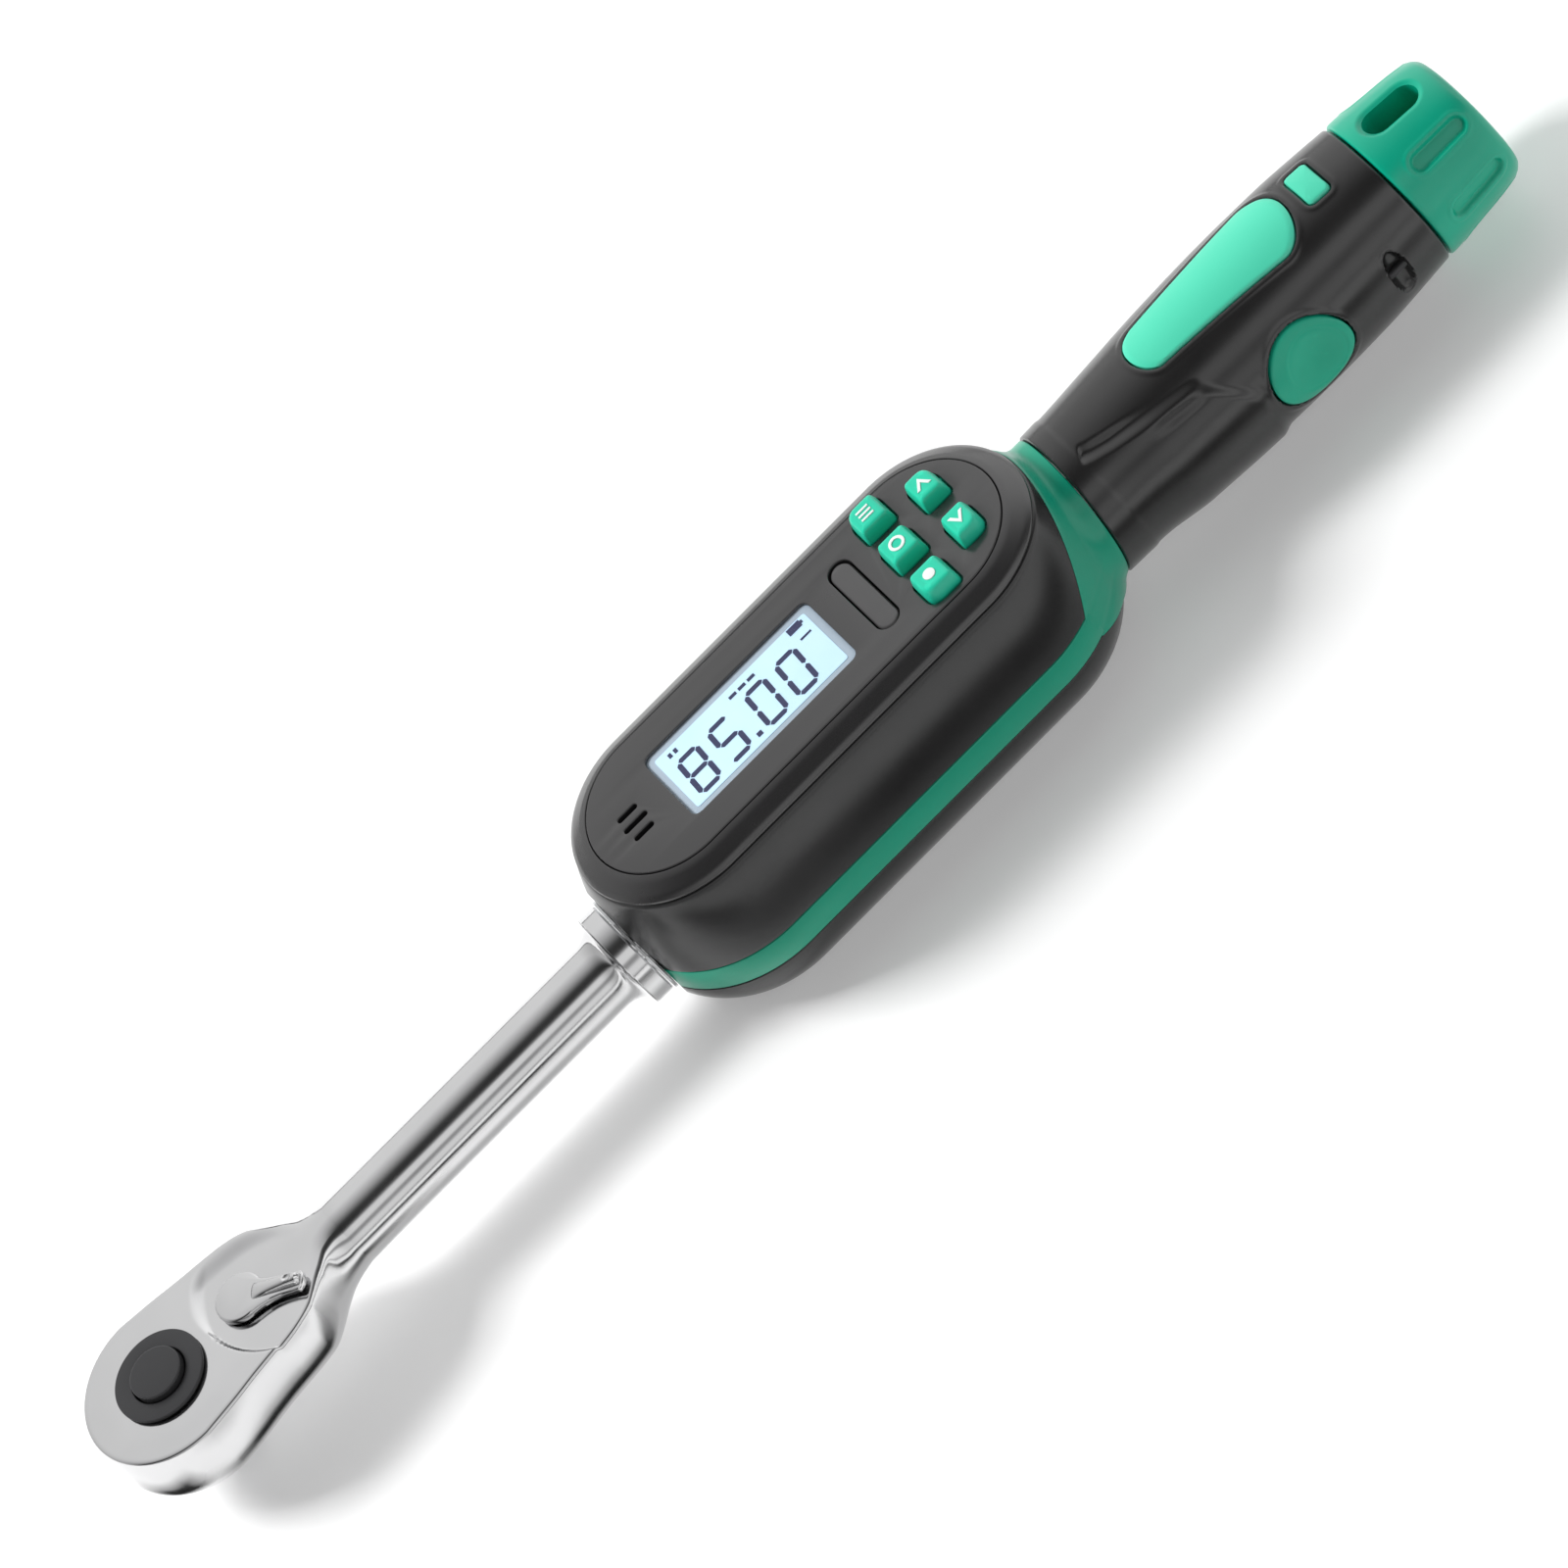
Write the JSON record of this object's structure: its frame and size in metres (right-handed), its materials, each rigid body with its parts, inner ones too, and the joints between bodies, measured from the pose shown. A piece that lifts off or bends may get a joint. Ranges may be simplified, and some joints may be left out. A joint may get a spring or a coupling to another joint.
{
  "type": "digital torque wrench",
  "caption": "Digital ratcheting torque wrench: round chromed ratchet head with reversing lever, shaft, electronics pod with display and keys, and a rubber battery handle with a screw cap.",
  "frame": {"origin": "middle of the drive square's tip face, which is level with the flat underside of the pod", "axes": "+X along the tool from the drive axis to the end cap, +Z out of the display, +Y to the left of a user who looks from the cap to the head"},
  "size_m": [0.3622, 0.0518, 0.0461],
  "materials": {
    "polished_chrome": "bright polished plating with soft wear at the edges",
    "blackened_steel": "satin black oxide",
    "plain_steel": "machined",
    "black_housing": "satin moulded, very fine grain",
    "black_rubber": "satin soft-touch",
    "green_plastic": "satin gloss moulded",
    "mint_rubber": "soft satin",
    "mint_keys": "satin moulded with pale printed signs",
    "clear_window": "polished",
    "smoked_lens": "smoked translucent",
    "liquid_crystal": "pale blue with dark segments",
    "light_diffuser": "milky",
    "contact_brass": "bright",
    "board_laminate": "solder mask",
    "black_resin": "moulded",
    "lead_red": "insulation",
    "lead_black": "insulation",
    "cell_wrap_dark": "printed wrap without marks",
    "cell_wrap_copper": "printed wrap without marks"
  },
  "bodies": {
    "root": {"back_plate_screw_1": "plain_steel", "back_plate_screw_2": "plain_steel", "backlight": "light_diffuser", "battery_cell_1": "cell_wrap_dark", "battery_cell_2": "cell_wrap_copper", "battery_lead_black": "lead_black", "battery_lead_red": "lead_red", "buzzer": "black_resin", "circuit_board": "board_laminate", "cross_pin": "plain_steel", "display_bezel": "black_housing", "display_window": "clear_window", "front_contact": "board_laminate", "green_band": "green_plastic", "grip_inlay_far": "mint_rubber", "grip_inlay_long": "mint_rubber", "grip_inlay_near": "mint_rubber", "grip_inlay_short": "mint_rubber", "grip_sleeve": "black_rubber", "handle_tube": "plain_steel", "head_back_plate": "polished_chrome", "housing_screw_1": "plain_steel", "housing_screw_2": "plain_steel", "housing_screw_3": "plain_steel", "housing_screw_4": "plain_steel", "keypad_membrane": "black_rubber", "lcd_panel": "liquid_crystal", "led_light_bar": "smoked_lens", "lever_seal": "black_rubber", "lower_housing": "black_housing", "neck_washer": "plain_steel", "processor_chip": "black_resin", "ratchet_head": "polished_chrome", "shank_pin": "plain_steel", "strain_gauge_left": "contact_brass", "strain_gauge_right": "contact_brass", "strap_bar": "plain_steel", "torque_beam": "plain_steel", "upper_housing": "black_housing"},
    "anvil": {"drive_anvil": "plain_steel", "anvil_cap": "blackened_steel", "retaining_ball": "plain_steel", "snap_ring": "plain_steel", "release_spring": "plain_steel"},
    "release": {"release_button": "blackened_steel", "release_pin": "plain_steel"},
    "lever": {"reversing_lever": "polished_chrome", "detent_ball": "plain_steel", "detent_spring": "plain_steel"},
    "pawl": {"ratchet_pawl": "plain_steel"},
    "cap_carrier": {"contact_plug": "contact_brass", "cap_spring": "plain_steel"},
    "cap": {"battery_cap": "green_plastic", "cap_o_ring": "black_rubber"},
    "key_left_body": {"key_left": "mint_keys"},
    "key_middle_body": {"key_middle": "mint_keys"},
    "key_right_body": {"key_right": "mint_keys"},
    "key_up_body": {"key_up": "mint_keys"},
    "key_down_body": {"key_down": "mint_keys"}
  },
  "joints": [
    {"name": "anvil_spin", "type": "hinge", "parent": "root", "child": "anvil", "pos_m": [0, 0, 0.0195], "axis": [0, 0, 1], "continuous": true},
    {"name": "release_press", "type": "slide", "parent": "anvil", "child": "release", "axis": [0, 0, -1], "range_m": [0, 0.002], "stiffness_N_per_m": 500, "springref_m": -0.001, "deforming": ["release_spring"]},
    {"name": "lever_throw", "type": "hinge", "parent": "root", "child": "lever", "pos_m": [0.0211, 0, 0.0195], "axis": [0, 0, 1], "range_deg": [0, 76]},
    {"name": "pawl_swing", "type": "hinge", "parent": "root", "child": "pawl", "pos_m": [0.0211, 0, 0.0195], "axis": [0, 0, 1], "range_deg": [0, 8.6]},
    {"name": "cap_advance", "type": "slide", "parent": "root", "child": "cap_carrier", "axis": [1, 0, 0], "range_m": [0, 0.009]},
    {"name": "cap_turn", "type": "hinge", "parent": "cap_carrier", "child": "cap", "pos_m": [0.322, 0, 0.0195], "axis": [1, 0, 0], "range_deg": [0, 1080]},
    {"name": "key_left_press", "type": "slide", "parent": "root", "child": "key_left_body", "axis": [0, 0, -1], "range_m": [0, 0.001], "stiffness_N_per_m": 400, "springref_m": -0.001},
    {"name": "key_middle_press", "type": "slide", "parent": "root", "child": "key_middle_body", "axis": [0, 0, -1], "range_m": [0, 0.001], "stiffness_N_per_m": 400, "springref_m": -0.001},
    {"name": "key_right_press", "type": "slide", "parent": "root", "child": "key_right_body", "axis": [0, 0, -1], "range_m": [0, 0.001], "stiffness_N_per_m": 400, "springref_m": -0.001},
    {"name": "key_up_press", "type": "slide", "parent": "root", "child": "key_up_body", "axis": [0, 0, -1], "range_m": [0, 0.001], "stiffness_N_per_m": 400, "springref_m": -0.001},
    {"name": "key_down_press", "type": "slide", "parent": "root", "child": "key_down_body", "axis": [0, 0, -1], "range_m": [0, 0.001], "stiffness_N_per_m": 400, "springref_m": -0.001}
  ],
  "couplings": [
    {"joint": "pawl_swing", "follows": "lever_throw", "ratio": 0.11315},
    {"joint": "cap_advance", "follows": "cap_turn", "m_per_rad": 0.00047746}
  ]
}
